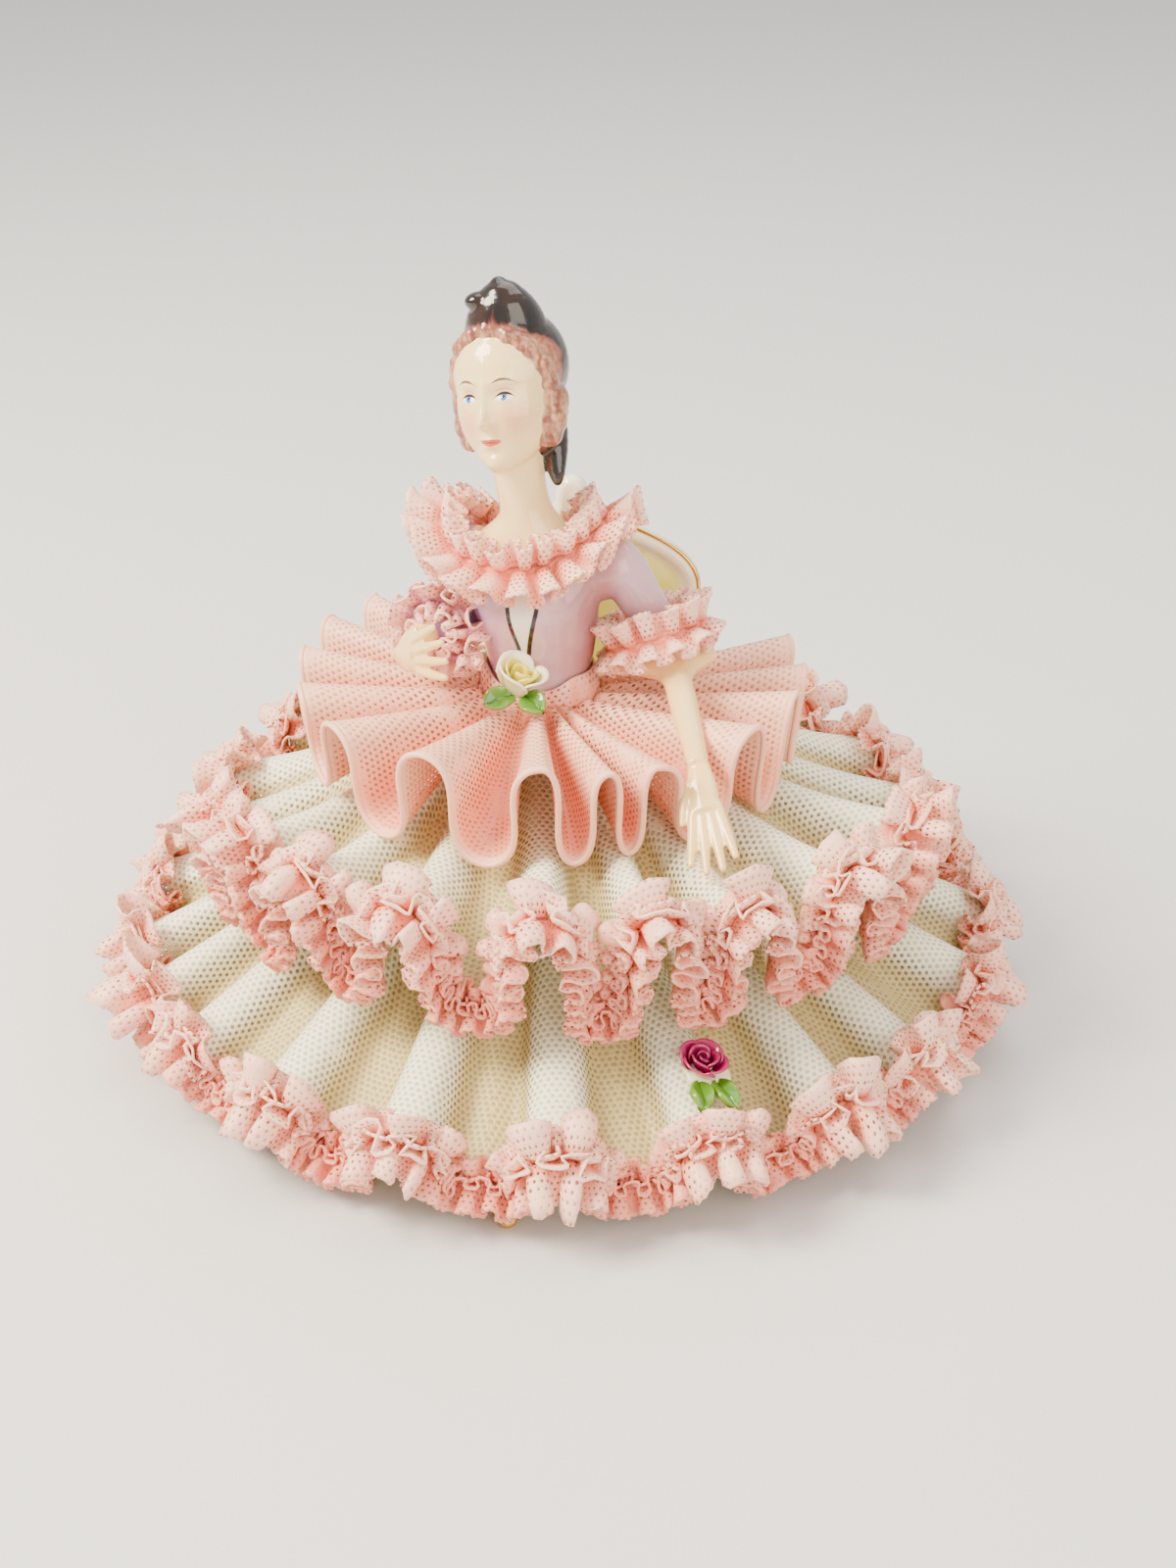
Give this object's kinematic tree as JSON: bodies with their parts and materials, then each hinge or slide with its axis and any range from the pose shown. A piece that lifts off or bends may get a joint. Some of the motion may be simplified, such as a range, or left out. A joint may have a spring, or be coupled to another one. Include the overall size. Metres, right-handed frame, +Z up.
{
  "type": "lace porcelain figurine",
  "caption": "Seated porcelain lady in a wide tiered dress of stiffened porcelain lace with frilled hems, on a balloon-back chair; a shelf ornament.",
  "frame": {"origin": "on the surface that it stands on, at the middle of the wide skirt", "axes": "+Z up; the lady faces -Y; +X is on the viewer's right, her left"},
  "size_m": [0.1913, 0.1908, 0.1502],
  "materials": {
    "figure_glaze": "clear gloss glaze over painted porcelain",
    "chair_glaze": "cream gloss glaze with a pale green panel and a gilt line",
    "white_lace": "satin ivory porcelain lace",
    "pink_lace": "satin pink porcelain lace",
    "yellow_petal": "gloss white and yellow",
    "crimson_petal": "gloss crimson",
    "leaf": "gloss green"
  },
  "bodies": {
    "root": {"lady": "figure_glaze", "chair": "chair_glaze", "lower_skirt": "white_lace", "lower_skirt_frill": "pink_lace", "upper_skirt": "white_lace", "upper_skirt_frill": "pink_lace", "peplum": "pink_lace", "collar": "pink_lace", "left_cuff": "pink_lace", "right_cuff": "pink_lace", "waist_rose": "yellow_petal", "waist_leaf_left": "leaf", "waist_leaf_right": "leaf", "skirt_rose": "crimson_petal", "skirt_leaf_left": "leaf", "skirt_leaf_right": "leaf"}
  },
  "joints": []
}
